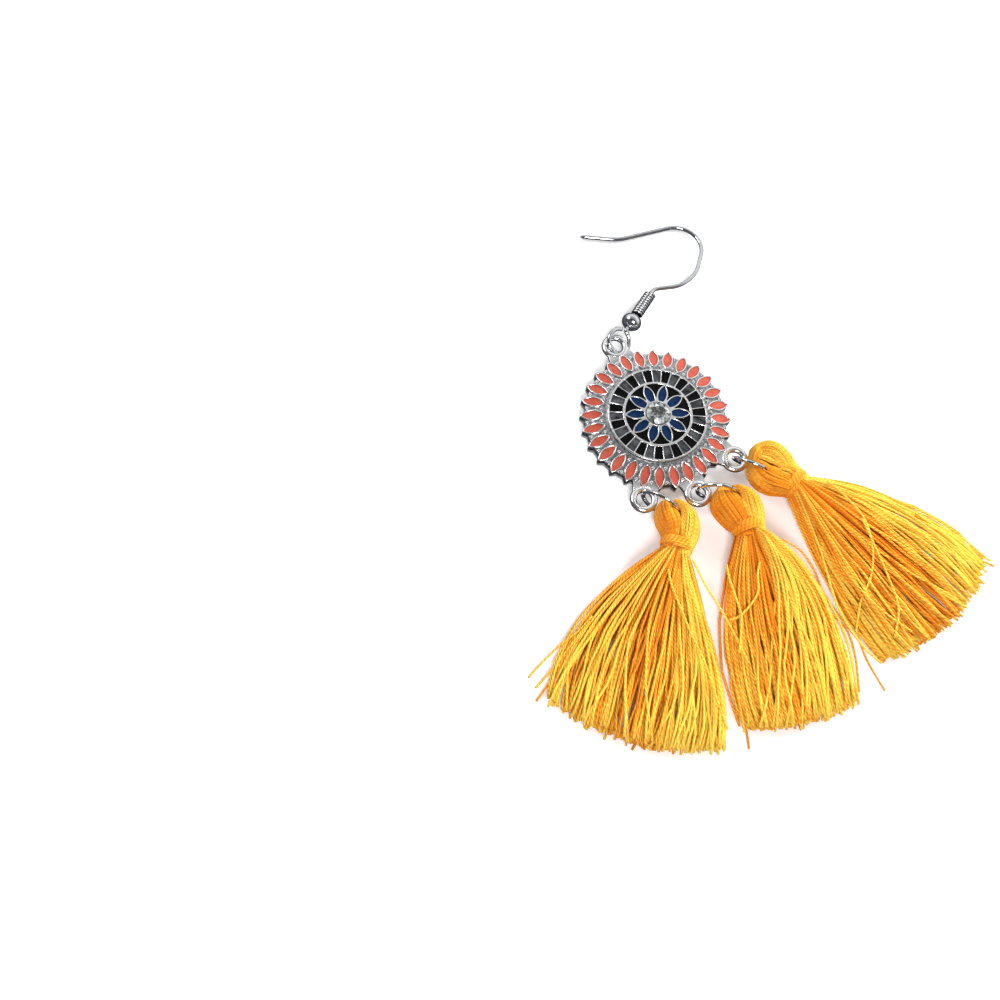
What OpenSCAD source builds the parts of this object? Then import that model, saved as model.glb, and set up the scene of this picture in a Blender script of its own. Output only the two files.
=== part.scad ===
// Tassel earring, lying flat on its back.
// The medallion's centre is the origin, its flat back is at z = 0 and the
// ear wire points to +Y.

/* [Medallion] */
// Thickness of the cast petal rim at its outer edge
rim_t = 2.0; // [1.6:0.1:2.6]
// Rise of the petal rim from its outer tips to its inner tips
rim_rise = 0.9; // [0.5:0.1:1.2]
// Height of the centre disc at its outer ring
disc_t = 3.4; // [3.3:0.1:4.2]
// Rise of the centre disc from its outer ring to the stone
disc_rise = 0.4; // [0.2:0.1:0.8]
// Width of the raised ring lines
ring_w = 0.3; // [0.25:0.05:0.5]
// Width of the bars between two enamel cells
bar_w = 0.17; // [0.12:0.01:0.25]
// Depth of the enamel cells
cell_depth = 0.4; // [0.3:0.05:0.6]
// Gap between the enamel and its walls
fit_gap = 0.03; // [0.02:0.01:0.06]

/* [Coral petals] */
// Number of coral petals
coral_n = 28; // [24:2:28]
// Length of one coral petal with its rim
coral_l = 3.8; // [3:0.1:4.6]
// Width of one coral petal with its rim
coral_w = 1.85; // [1.5:0.05:1.95]
// Width of the rim round each petal
petal_rim = 0.22; // [0.15:0.01:0.3]
// Gap between the outer ring and the petals
petal_gap = 0.5; // [0.3:0.1:1]
// Depth of the webs between the petals
web_drop = 0.45; // [0.3:0.05:0.6]

/* [Enamel ring] */
// Number of black and grey cells, black and grey in turn
cell_n = 30; // [20:2:36]
// Width of the ring of cells
cell_band = 2.15; // [1.4:0.05:2.6]
// Turn of the first black cell from the lower end
cell_turn = -3; // [-12:1:12]

/* [Blue flower] */
// Number of blue petals
blue_n = 10; // [6:1:10]
// Length of one blue petal with its rim
blue_l = 3.15; // [2.6:0.05:3.8]
// Width of one blue petal with its rim
blue_w = 1.8; // [1.4:0.05:1.85]
// Turn of the first blue petal from the lower end
blue_turn = -4.5; // [-18:0.5:18]

/* [Stone] */
// Diameter of the round stone at its girdle
stone_d = 4; // [3:0.1:5]
// Height of the stone's crown above its girdle
crown_h = 0.6; // [0.4:0.05:0.9]
// Wall of the stone's seat
seat_w = 0.28; // [0.2:0.02:0.4]

/* [Eyes] */
// Clear hole in each eye
eye_hole = 2.4; // [2.2:0.1:2.8]
// Thickness of the eye's round bar
eye_bar = 1.05; // [0.8:0.05:1.1]
// Height of the eyes above the surface
eye_z = 1.5; // [1.5:0.05:1.6]
// Distance from the petal tips to the centre of an eye
eye_reach = 1.85; // [1.7:0.05:2.1]
// Angle between two lower eyes
eye_step = 36; // [34:1:42]

/* [Jump rings] */
// Outside diameter of a jump ring
jump_d = 6.8; // [6.6:0.1:7.2]
// Wire of a jump ring
jump_wire = 0.65; // [0.5:0.05:0.7]
// Opening of the butt joint, as an angle
jump_slit = 3; // [2:1:6]

/* [Ear wire] */
// Diameter of the ear wire
wire_d = 0.7; // [0.6:0.05:0.75]
// Straight length from the coil to the first bend
stem_free = 0.45; // [0.2:0.05:3]
// Straight end that goes through the ear
tip_l = 4; // [2:0.1:5]
// Radius of the large bend that rests in the ear
hook_r = 4.4; // [3.5:0.1:5]
// Straight run between the large bend and the tip
back_l = 7.8; // [6:0.1:12]
// Radius of the loop at the foot of the ear wire
loop_r = 2.05; // [1.95:0.05:2.15]

/* [Bead and coil] */
// Diameter of the bead
bead_d = 3.3; // [2.8:0.1:3.4]
// Length of the bead along the wire
bead_l = 2.9; // [2.4:0.1:3.2]
// Diameter of the coiled wire
coil_wire = 0.46; // [0.35:0.01:0.5]
// Turns of the coil
coil_turns = 9.5; // [6:0.5:11]
// Room between two turns of the coil
coil_room = 0.04; // [0.03:0.01:0.1]

/* [Tassels] */
// Length of the fringe below the neck
fringe_l = 31.5; // [24:0.5:38]
// Length of the head above the neck
head_l = 7; // [6.5:0.1:8]
// Width of the head
head_w = 7.8; // [7:0.1:8.6]
// Height of the head
head_h = 6.1; // [5.4:0.1:6.4]
// Diameter of the neck under its wrapping
neck_d = 4.5; // [4:0.1:4.8]
// Thread that wraps the neck
wrap_thread = 0.44; // [0.3:0.02:0.5]
// Turns of the wrapping thread
wrap_turns = 4; // [3:1:5]
// Height of the fringe at its cut end
fringe_h = 3.2; // [2:0.1:4]
// Room round the jump ring inside the head
head_room = 0.15; // [0.1:0.05:0.3]

/* [Hidden] */
$fn = 96;

floor_gap = 0.02;
stone_r = stone_d / 2;
seat_r = stone_r + seat_w;
flower_r = seat_r + blue_l;
cell_in_r = flower_r + ring_w;
cell_out_r = cell_in_r + cell_band;
disc_r = cell_out_r + ring_w;
coral_in_r = disc_r + petal_gap;
tip_r = coral_in_r + coral_l;
web_r = tip_r - 0.2 * coral_l;
// The blue petals start this far inside the stone's seat, which cuts them off
petal_sink = 0.8;
blue_in_r = seat_r - petal_sink;
ground_in_r = seat_r + 0.2 * blue_l;
// The tips of the blue petals run this far into the ring line round them
tip_tuck = 0.1;
ground_out_r = flower_r - tip_tuck;

eye_r = (eye_hole + eye_bar) / 2;
eye_at = tip_r + eye_reach;
eye_turns = [90, -90 - eye_step, -90, -90 + eye_step];

jump_r = (jump_d - jump_wire) / 2;

// Where each jump ring heads, how far it leans, and how its tassel lies.
// Turns are in degrees from +X. NECK_RUN and HEAD_SHARE are shares of the
// head's length, HEAD_SIDE of its width, SKIRT_SHARE and the spreads of the
// fringe's length. HEAD_SLANT shortens one lobe and lengthens the other, and
// a bow over 1 opens the fringe near its neck.
EYE = 0;
RING_TURN = 1;
RING_LEAN = 2;
NECK_RUN = 3;
NECK_TURN = 4;
HEAD_TURN = 5;
HEAD_SHARE = 6;
HEAD_SIDE = 7;
HEAD_SLANT = 8;
WRAP_TURN = 9;
SKIRT_TURN = 10;
SKIRT_SHARE = 11;
SPREAD_CW = 12;
SPREAD_CCW = 13;
BOW_CW = 14;
BOW_CCW = 15;
HANGS = [
    [1, -57, 0, 0.72, -120, -110, 0.88, 0.03, 0.08, -131, -130, 1, 0.44, 0.38, 2.2, 1.6],
    [2, -32, 0, 0.79, -100, -88, 0.9, -0.02, 0.08, -96, -105, 1.03, 0.27, 0.31, 2.7, 2.6],
    [3, -47, 20, 0.56, -51, -66, 1.05, 0, -0.05, -60, -73.5, 1.02, 0.34, 0.45, 1.3, 2.2]
];

function polar(r, a) = [r * cos(a), r * sin(a)];
function mix(a, b, t) = a + (b - a) * t;
function disc_top(r) = disc_t + disc_rise * (1 - r / disc_r);
function rim_top(r) = rim_t + rim_rise * (tip_r - r) / coral_l;

// A lens of length l and width w, with its long axis along X
function lens_r(l, w) = (l * l + w * w) / (4 * w);
module lens(l, w) {
    r = lens_r(l, w);
    intersection() {
        translate([0, r - w / 2]) circle(r = r);
        translate([0, w / 2 - r]) circle(r = r);
    }
}

module petals(n, from_r, l, w, turn, inset) {
    for (i = [0:n - 1]) petal(i, n, from_r, l, w, turn, inset);
}

// One petal of a ring: the inset follows the rim all round
module petal(i, n, from_r, l, w, turn, inset) {
    tip = inset * lens_r(l, w) / (w / 2) * 0.45;
    rotate(turn + 360 / n * i)
        translate([from_r + l / 2, 0])
            lens(l - 2 * tip, w - 2 * inset);
}

// A body of revolution between two radii whose top follows a surface
module between(r0, r1, z0, z1) {
    rotate_extrude()
        polygon([[r0, z0[0]], [r1, z0[1]], [r1, z1[0]], [r0, z1[1]]]);
}

module rim_layer(from_drop, to_drop) {
    r0 = disc_r + ring_w / 2;
    r1 = tip_r + ring_w;
    between(r0, r1,
        [rim_top(r0) - from_drop, rim_top(r1) - from_drop],
        [rim_top(r1) - to_drop, rim_top(r0) - to_drop]);
}

module disc_layer(r0, r1, from_drop, to_drop) {
    between(r0, r1,
        [disc_top(r0) - from_drop, disc_top(r1) - from_drop],
        [disc_top(r1) - to_drop, disc_top(r0) - to_drop]);
}

module cell_plan(first, inset) {
    step = 360 / cell_n;
    for (i = [first:2:cell_n - 1])
        rotate(-90 + cell_turn + step * i)
            intersection() {
                difference() {
                    circle(r = cell_out_r - inset);
                    circle(r = cell_in_r + inset);
                }
                cell_wedge(step, bar_w / 2 + inset);
            }
}

// The sector of one cell, set back from the middle of both bars
module cell_wedge(step, back) {
    far = 2 * cell_out_r;
    polygon([
        [back / sin(step / 2), 0],
        [far * cos(step / 2) + back * sin(step / 2), far * sin(step / 2) - back * cos(step / 2)],
        [far * cos(step / 2) + back * sin(step / 2), back * cos(step / 2) - far * sin(step / 2)]
    ]);
}

module ground_plan(inset) {
    difference() {
        circle(r = ground_out_r - inset);
        circle(r = ground_in_r + inset);
        petals(blue_n, blue_in_r, flower_r - blue_in_r, blue_w, -90 + blue_turn, -inset);
    }
}

module blue_plan(i, inset) {
    difference() {
        petal(i, blue_n, blue_in_r, flower_r - blue_in_r, blue_w, -90 + blue_turn, petal_rim + inset);
        circle(r = seat_r + inset);
    }
}

module eye(turn) {
    foot = eye_at - disc_r;
    translate([eye_at * cos(turn), eye_at * sin(turn), eye_z])
        rotate([0, 0, turn]) {
            rotate_extrude() translate([eye_r, 0]) circle(d = eye_bar, $fn = 32);
            translate([0, 0, -eye_bar * 0.35]) linear_extrude(eye_bar * 0.7) difference() {
                polygon([
                    [-0.2 * eye_r, eye_r],
                    [-0.2 * eye_r, -eye_r],
                    [-foot / 2, -1.35 * eye_r],
                    [-foot / 2, 1.35 * eye_r]
                ]);
                circle(r = eye_r);
            }
        }
}

module medallion() {
    color("silver") difference() {
        union() {
            rotate_extrude() polygon([
                [0, 0], [web_r, 0], [web_r, rim_top(web_r) - web_drop],
                [disc_r, rim_top(disc_r) - web_drop], [disc_r, disc_t], [0, disc_top(0)]
            ]);
            intersection() {
                linear_extrude(disc_t)
                    petals(coral_n, coral_in_r, coral_l, coral_w, -90, 0);
                between(disc_r, tip_r + ring_w, [0, 0],
                    [rim_top(tip_r + ring_w), rim_top(disc_r)]);
            }
            for (i = [0:coral_n - 1]) rotate(360 / coral_n * (i + 0.5)) {
                web_dot(web_r - 0.35);
                web_dot(coral_in_r + 0.4);
            }
            for (turn = eye_turns) eye(turn);
        }
        intersection() {
            linear_extrude(2 * disc_t)
                petals(coral_n, coral_in_r, coral_l, coral_w, -90, petal_rim);
            rim_layer(cell_depth, -disc_t);
        }
        intersection() {
            linear_extrude(2 * disc_t) {
                cell_plan(0, 0);
                cell_plan(1, 0);
            }
            disc_layer(stone_r, disc_r, cell_depth, -disc_t);
        }
        intersection() {
            linear_extrude(2 * disc_t) {
                ground_plan(0);
                for (i = [0:blue_n - 1]) blue_plan(i, 0);
            }
            disc_layer(stone_r, disc_r, cell_depth, -disc_t);
        }
        translate([0, 0, stone_floor()]) cylinder(r = stone_r + fit_gap, h = disc_t);
    }
}

// A cast grain on the web between two petals
module web_dot(r) {
    translate([r, 0, 0]) cylinder(r = 0.27, h = rim_top(r) - web_drop / 3, $fn = 24);
}

function stone_floor() = disc_top(stone_r) - 1.1;

module enamel(tone, drop) {
    color(tone) intersection() {
        linear_extrude(2 * disc_t) children();
        union() {
            rim_layer(cell_depth - fit_gap, drop);
            disc_layer(stone_r, cell_out_r + ring_w / 3, cell_depth - fit_gap, drop);
        }
    }
}

module coral_petal(i) {
    enamel("salmon", 0.05)
        petal(i, coral_n, coral_in_r, coral_l, coral_w, -90, petal_rim + fit_gap);
}

module blue_petal(i) {
    enamel("navy", 0.05) blue_plan(i, fit_gap);
}

module black_cells() {
    enamel("black", 0.05) cell_plan(0, fit_gap);
}

module grey_cells() {
    enamel("dimgray", 0.08) cell_plan(1, fit_gap);
}

module black_ground() {
    enamel("black", 0.08) ground_plan(fit_gap);
}

module rhinestone() {
    girdle_z = disc_top(stone_r) + 0.05;
    color("white") hull() {
        translate([0, 0, girdle_z + crown_h]) rotate(22.5) cylinder(d = 0.58 * stone_d, h = 0.01, $fn = 8);
        translate([0, 0, girdle_z]) cylinder(d = stone_d, h = 0.08, $fn = 16);
        translate([0, 0, stone_floor() + fit_gap]) cylinder(d = 0.3 * stone_d, h = 0.01, $fn = 8);
    }
}

// A straight stretch of wire along X, then what follows it
module wire_straight(l) {
    translate([joint_gap, 0, 0]) rotate([0, 90, 0])
        cylinder(d = wire_d, h = l - 2 * joint_gap, $fn = 32);
    translate([l, 0, 0]) {
        wire_joint();
        children();
    }
}

// A bend of radius r through the signed angle a in the XY plane
module wire_bend(r, a) {
    s = sign(a);
    e = joint_gap / r * 180 / PI;
    translate([0, s * r, 0]) {
        rotate([0, 0, a > 0 ? -90 + e : 90 + a + e])
            rotate_extrude(angle = abs(a) - 2 * e) translate([r, 0]) circle(d = wire_d, $fn = 32);
        rotate([0, 0, a]) translate([0, -s * r, 0]) if ($children > 0) {
            wire_joint();
            children();
        }
    }
}

// The stretches stop just short of each other, and a ball whose poles lie
// inside the wire joins them
module wire_joint() {
    rotate([0, 90, 0]) sphere(d = wire_d + 0.02, $fn = 48);
}

module wire_tip(l) {
    rotate([0, 90, 0]) {
        translate([0, 0, joint_gap]) cylinder(d = wire_d, h = l - joint_gap, $fn = 32);
        translate([0, 0, l]) cylinder(d1 = wire_d, d2 = wire_d * 0.4, h = point_l, $fn = 32);
    }
}

joint_gap = 0.02;
point_l = 1.2;
WIRE_TURN = 32.5;
LIE_SLOPE = 4.05;
LIE_TURN = 40.5;
foot_z = bead_d / 2 + 0.13;

// Along the stem from the loop: bead, coil, then the bends
bead_from = 0.25;
coil_from = bead_from + bead_l + 0.08;
coil_pitch = coil_wire + coil_room;
coil_lead = coil_wire / 2 + 0.02;
coil_r = (wire_d + coil_wire) / 2 + 0.14;
stem_l = coil_from + coil_pitch * coil_turns + 2 * coil_lead + stem_free;

// The bends of the ear wire, each with the straight run that follows it
RADIUS = 0;
BEND = 1;
THEN = 2;
WIRE_BENDS = [
    [1.6, -48, 2.3],
    [6.6, 64, 2.4],
    [hook_r, 123.5, back_l],
    [8, -21.5, tip_l]
];

// The loop's middle, seen from the foot of the stem along the wire
LOOP_TURN = 31;
foot_bend = 0.6;
loop_roll = 36;
loop_open = 324;
loop_sink = 0.12;
loop_gap = 0.045;
loop_run = sqrt(pow(loop_r + foot_bend, 2) - pow(foot_bend, 2));
loop_dip = asin((foot_z - eye_z - loop_sink) / loop_run);
foot_sweep = 90 - atan(foot_bend / loop_run);
// Inside the eye the loop keeps this distance from the eye's centre
loop_inside = eye_hole / 2 - wire_d / 2 - 0.07;
foot_at = [0, eye_at] + polar(loop_r - loop_inside, LOOP_TURN) + polar(loop_run + loop_gap, WIRE_TURN);

module along_wire() {
    translate([foot_at[0], foot_at[1], foot_z])
        rotate([0, 0, WIRE_TURN])
            rotate(a = LIE_SLOPE, v = [-sin(LIE_TURN), cos(LIE_TURN), 0])
                children();
}

module wire_from(k) {
    b = WIRE_BENDS[k];
    wire_bend(b[RADIUS], b[BEND]) {
        if (k < len(WIRE_BENDS) - 1) wire_straight(b[THEN]) wire_from(k + 1);
        else wire_tip(b[THEN]);
    }
}

module ear_wire() {
    color("silver") along_wire() {
        wire_joint();
        wire_straight(stem_l) wire_from(0);
        rotate([0, 0, 180]) rotate([90, 0, 0]) rotate([0, 0, -loop_dip - LIE_SLOPE])
            rotate([-90 - loop_roll, 0, 0]) wire_bend(foot_bend, foot_sweep)
            wire_bend(loop_r, -loop_open);
    }
}

module wire_bead() {
    bore = wire_d + 0.14;
    color("gray") along_wire()
        translate([bead_from, 0, 0]) rotate([0, 90, 0]) rotate_extrude()
            intersection() {
                translate([0, bead_l / 2]) circle(d = bead_d);
                translate([bore / 2, 0]) square([bead_d, bead_l]);
            }
}

// The coil is one wire swept along a helix, six sides to its section
module wire_coil() {
    steps = 14;
    sides = 6;
    count = floor(coil_turns * steps);
    slope = atan(coil_pitch / (2 * PI * coil_r));
    ring_points = [
        for (i = [0:count], j = [0:sides - 1])
            let (
                a = 360 * i / steps,
                b = 360 * j / sides,
                out = coil_r + coil_wire / 2 * cos(b),
                up = coil_wire / 2 * sin(b)
            )
            [
                coil_lead + coil_pitch * i / steps + up * cos(slope),
                out * cos(a) + up * sin(slope) * sin(a),
                out * sin(a) - up * sin(slope) * cos(a)
            ]
    ];
    walls = [
        for (i = [0:count - 1], j = [0:sides - 1])
            let (k = (j + 1) % sides)
            [i * sides + j, i * sides + k, (i + 1) * sides + k, (i + 1) * sides + j]
    ];
    ends = [
        [for (j = [0:sides - 1]) sides - 1 - j],
        [for (j = [0:sides - 1]) count * sides + j]
    ];
    color("silver") along_wire() translate([coil_from, 0, 0])
        polyhedron(ring_points, concat(walls, ends), convexity = 10);
}

// Height of a jump ring's centre when it stands on the surface
function jump_z(h) = jump_r * cos(h[RING_LEAN]) + jump_wire / 2 + floor_gap;
function jump_drop(h) = jump_z(h) - eye_z;
function jump_reach(h) = sqrt(jump_r * jump_r - pow(jump_drop(h) / cos(h[RING_LEAN]), 2));
function eye_place(k) = polar(eye_at, eye_turns[k]);
function jump_place(h) = eye_place(h[EYE])
    + polar(jump_reach(h) + 0.2, h[RING_TURN])
    + polar(jump_drop(h) * tan(h[RING_LEAN]), h[RING_TURN] - 90);
function hang_place(h) = jump_place(h) + polar(jump_r, h[RING_TURN]);
function neck_place(h) = hang_place(h) + polar(h[NECK_RUN] * head_l, h[NECK_TURN]);
neck_z = max(head_h, neck_d + 2 * wrap_thread + 0.1) / 2 + floor_gap;
neck_half = wrap_thread * wrap_turns / 2;
lock_uneven = 0.018;
// One lobe of the head is this share lower than the other
lobe_uneven = 0.04;
skirt_from = neck_half + 0.75;

module jump_torus(h, d, slit) {
    p = jump_place(h);
    translate([p[0], p[1], jump_z(h)])
        rotate([0, 0, h[RING_TURN]])
            rotate([90 + h[RING_LEAN], 0, 0])
                rotate([0, 0, 60 + slit / 2])
                    rotate_extrude(angle = 360 - slit)
                        translate([jump_r, 0]) circle(d = d, $fn = d > jump_wire ? 8 : 32);
}

module jump_ring(i) {
    color("silver") jump_torus(HANGS[i], jump_wire, jump_slit);
}

module at_neck(h, turn) {
    p = neck_place(h);
    translate([p[0], p[1], neck_z]) rotate([0, 0, turn]) children();
}

module blob(p, size) {
    translate(p) scale(size) sphere(d = 1, $fn = 14);
}

// Two lobes of folded thread with a cleft where the jump ring goes in
module tassel_head(h) {
    at_ring = hang_place(h) - neck_place(h);
    cleft = at_ring[1] * cos(h[HEAD_TURN]) - at_ring[0] * sin(h[HEAD_TURN]);
    for (s = [-1, 1]) {
        long = h[HEAD_SHARE] * head_l * (1 - s * h[HEAD_SLANT]);
        edge = (s / 2 + h[HEAD_SIDE]) * head_w;
        wide = abs(edge - cleft);
        side = (edge + cleft) / 2;
        tall = head_h * (s < 0 ? 1 - lobe_uneven : 1);
        hull() {
            blob([0.22 * head_l - long, side, 0], [0.44 * head_l, wide * 0.85, 0.75 * tall]);
            lobe(long, side, wide, tall);
        }
        hull() {
            lobe(long, side, wide, tall);
            rotate(h[WRAP_TURN] - h[HEAD_TURN]) neck_disc(-neck_half - 0.5, 0.96 * neck_d);
        }
    }
}

module lobe(long, side, wide, tall) {
    blob([-0.56 * long, side * 0.96, 0], [0.56 * head_l, wide * 1.1, tall]);
}

module neck_disc(x, d) {
    translate([x, 0, 0]) rotate([0, 90, 0]) cylinder(d = d, h = 0.4, $fn = 16);
}

// Lateral place of a lock, q from -1 on the clockwise side to 1
function lock_side(h, q, t) = q < 0
    ? q * h[SPREAD_CW] * fringe_l * (1 - pow(1 - t, h[BOW_CW]))
    : q * h[SPREAD_CCW] * fringe_l * (1 - pow(1 - t, h[BOW_CCW]));
function lock_end(h, q, k) = sqrt(pow(fringe_l, 2) - pow(lock_side(h, q, 1), 2))
    * h[SKIRT_SHARE] * (1 + lock_uneven * sin(k * 137));
function lock_x(h, q, k, t) = mix(skirt_from, lock_end(h, q, k), t);
function lock_y(h, q, t) = lock_side(h, q, t) + q * 0.36 * neck_d * (1 - t);
function lock_wide(h, n, t) = mix(0.42 * neck_d,
    1.25 * (h[SPREAD_CW] + h[SPREAD_CCW]) * fringe_l / n, pow(t, 0.8));

module lock_slice(h, q, k, n, row, t) {
    tall = mix(0.45 * neck_d, 0.56 * fringe_h, t);
    low = mix(neck_z - 0.48 * neck_d, floor_gap, min(1, 2 * t)) + tall / 2;
    high = mix(neck_z + 0.46 * neck_d, fringe_h, pow(t, 0.8)) - tall / 2;
    dt = 0.02;
    turn = atan2(lock_y(h, q, t + dt) - lock_y(h, q, t - dt),
        lock_x(h, q, k, t + dt) - lock_x(h, q, k, t - dt));
    translate([lock_x(h, q, k, t), lock_y(h, q, t), (row == 0 ? low : high) - neck_z])
        rotate([0, 0, turn]) rotate([0, 90, 0])
            scale([tall, lock_wide(h, n, t), 1])
                rotate([0, 0, 22.5]) cylinder(d = 1.08, h = 0.1, $fn = 8);
}

module lock(h, q, k, n, row) {
    stops = [0.01, 0.2, 0.42, 0.7, 0.97];
    for (i = [0:len(stops) - 2]) hull() {
        lock_slice(h, q, k, n, row, stops[i]);
        lock_slice(h, q, k, n, row, stops[i + 1]);
    }
}

module tassel(i) {
    h = HANGS[i];
    rows = [8, 7];
    color("orange") difference() {
        union() {
            at_neck(h, h[HEAD_TURN]) tassel_head(h);
            at_neck(h, h[WRAP_TURN]) hull() {
                neck_disc(-neck_half - 0.35, neck_d);
                neck_disc(skirt_from + 0.8, neck_d);
            }
            at_neck(h, h[SKIRT_TURN]) for (row = [0, 1], k = [0:rows[row] - 1])
                lock(h, (2 * k + 1) / rows[row] - 1, k + 8 * row, rows[row], row);
        }
        jump_torus(h, jump_wire + 2 * head_room, 0);
    }
}

module neck_wrap(i) {
    h = HANGS[i];
    inner = neck_d / 2 + 0.04;
    color("darkorange") at_neck(h, h[WRAP_TURN]) rotate([0, 90, 0]) rotate_extrude() {
        for (t = [0:wrap_turns - 1])
            translate([inner + wrap_thread / 2, wrap_thread * (t + 0.5) - neck_half])
                circle(d = wrap_thread * 1.04, $fn = 32);
        translate([inner, wrap_thread / 2 - neck_half])
            square([wrap_thread / 2, wrap_thread * (wrap_turns - 1)]);
    }
}

medallion();
for (i = [1:coral_n]) coral_petal(i - 1);
for (i = [1:blue_n]) blue_petal(i - 1);
black_cells();
grey_cells();
black_ground();
rhinestone();
ear_wire();
wire_coil();
wire_bead();
for (i = [1:3]) jump_ring(i - 1);
for (i = [1:3]) tassel(i - 1);
for (i = [1:3]) neck_wrap(i - 1);
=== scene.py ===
import math
import random
import bmesh
import bpy
from mathutils import Matrix, Vector


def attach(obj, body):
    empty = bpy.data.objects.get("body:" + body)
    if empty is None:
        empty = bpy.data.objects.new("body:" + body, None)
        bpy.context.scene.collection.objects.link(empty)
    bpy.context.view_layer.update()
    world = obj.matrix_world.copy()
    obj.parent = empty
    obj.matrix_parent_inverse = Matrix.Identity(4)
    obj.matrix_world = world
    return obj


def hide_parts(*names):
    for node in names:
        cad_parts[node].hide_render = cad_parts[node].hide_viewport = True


mm = 0.001
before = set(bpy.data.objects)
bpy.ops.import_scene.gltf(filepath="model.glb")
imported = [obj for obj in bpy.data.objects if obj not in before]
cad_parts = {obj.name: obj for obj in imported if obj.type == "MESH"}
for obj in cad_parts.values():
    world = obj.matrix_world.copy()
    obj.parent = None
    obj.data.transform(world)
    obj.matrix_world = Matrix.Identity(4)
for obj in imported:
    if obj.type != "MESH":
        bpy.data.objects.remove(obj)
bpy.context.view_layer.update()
print("frame loaded:", len(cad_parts), "nodes")


# Places and paths are worked out in millimetres and become metres in the mesh

def polar(reach, turn):
    return Vector((reach * math.cos(math.radians(turn)), reach * math.sin(math.radians(turn)), 0))


def turned(degrees, axis="Z"):
    return Matrix.Rotation(math.radians(degrees), 4, axis)


def inFrame(origin, turn):
    return Matrix.Translation(origin) @ turned(turn)


def mix(a, b, t):
    return a + (b - a) * t


def smoothPath(stops, count):
    # a Catmull-Rom curve through the stops, which may be vectors of any size
    points = []
    last = len(stops) - 1
    for i in range(count):
        along = last * i / (count - 1)
        k = min(int(along), last - 1)
        f = along - k
        near = [stops[max(k - 1, 0)], stops[k], stops[k + 1], stops[min(k + 2, last)]]
        points.append(Vector([
            0.5 * (2 * q + (r - p) * f + (2 * p - 5 * q + 4 * r - s) * f * f + (3 * q - p - 3 * r + s) * f ** 3)
            for p, q, r, s in zip(*near)]))
    return points


def smoothAt(stops, at):
    # the value at a place between the stops
    for (a, low), (b, high) in zip(stops, stops[1:]):
        if at <= b:
            return mix(low, high, max(0.0, (at - a) / (b - a)))
    return stops[-1][1]


def pathLength(path):
    return sum((b - a).length for a, b in zip(path, path[1:]))


wholeTurn = 6.28  # radians, near enough for a wave
noiseSpan = (0.3, 0.7)  # nearly all of a noise lies between these


def drawWave(dice, high, often):
    return dice.uniform(*high), dice.uniform(*often), dice.uniform(0, wholeTurn)


def waveAt(wave, t):
    high, often, phase = wave
    return high * math.sin(wholeTurn * often * t + phase)


def newFinish(name, **values):
    material = bpy.data.materials.new(name)
    material.use_nodes = True
    shader = material.node_tree.nodes["Principled BSDF"]
    for key, value in values.items():
        shader.inputs[key.replace("_", " ")].default_value = value
    return material, material.node_tree, shader


def feed(tree, shader, **sockets):
    for key, value in sockets.items():
        tree.links.new(value, shader.inputs[key.replace("_", " ")])


def addNode(tree, kind, wires=None, **settings):
    node = tree.nodes.new("ShaderNode" + kind)
    for key, value in settings.items():
        setattr(node, key, value)
    for key, value in (wires or {}).items():
        if isinstance(value, bpy.types.NodeSocket):
            tree.links.new(value, node.inputs[key])
        else:
            node.inputs[key].default_value = value
    return node


def maths(tree, operation, a, b=0.0, clamped=False):
    return addNode(tree, "Math", {0: a, 1: b}, operation=operation, use_clamp=clamped).outputs[0]


def plus(tree, a, b, clamped=False):
    return maths(tree, "ADD", a, b, clamped)


def minus(tree, a, b):
    return maths(tree, "SUBTRACT", a, b)


def times(tree, a, b):
    return maths(tree, "MULTIPLY", a, b)


def offCentre(tree, value, amount, middle=0.5):
    # how far a value is from its middle, times amount
    return times(tree, minus(tree, value, middle), amount)


def mixColours(tree, share, first, second):
    first, second = (c if isinstance(c, bpy.types.NodeSocket) else (*c, 1) for c in (first, second))
    return addNode(tree, "Mix", {0: share, 6: first, 7: second}, data_type="RGBA").outputs[2]


def ramp(tree, value, stops):
    stops = list(stops)
    node = addNode(tree, "ValToRGB", {0: value})
    bar = node.color_ramp.elements
    while len(bar) < len(stops):
        bar.new(1.0)
    for element, (at, colour) in zip(bar, stops):
        element.position = at
        element.color = (*colour, 1.0)
    return node.outputs[0]


def spread(tree, value, low, high, to=(0.0, 1.0)):
    return addNode(tree, "MapRange", {0: value, 1: low, 2: high, 3: to[0], 4: to[1]}).outputs[0]


def place(tree):
    return addNode(tree, "TexCoord").outputs["Object"]


def surfaceValue(tree, name):
    return addNode(tree, "Attribute", attribute_name=name).outputs["Fac"]


def noise(tree, where, size, detail=3.0):
    # a noise whose lumps are about size millimetres across
    node = addNode(tree, "TexNoise", {"Vector": where, "Scale": 1 / (size * mm), "Detail": detail, "Roughness": 0.55})
    return node.outputs[0]


def bump(tree, shader, height, deep, strength=1.0):
    node = addNode(tree, "Bump", {"Strength": strength, "Distance": deep * mm, "Height": height})
    feed(tree, shader, Normal=node.outputs[0])


def addPiece(name, mesh, finish, slotName, *replaced):
    piece = bpy.data.objects.new(name, mesh)
    bpy.context.scene.collection.objects.link(piece)
    mesh.materials.clear()
    mesh.materials.append(finish)
    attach(piece, "root")
    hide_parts(*replaced)
    return piece


def newMesh(name, bm):
    mesh = bpy.data.meshes.new(name)
    bm.to_mesh(mesh)
    bm.free()
    stale = mesh.attributes.get("custom_normal")  # the shading of the CAD mesh no longer fits
    if stale:
        mesh.attributes.remove(stale)
    return mesh


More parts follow.
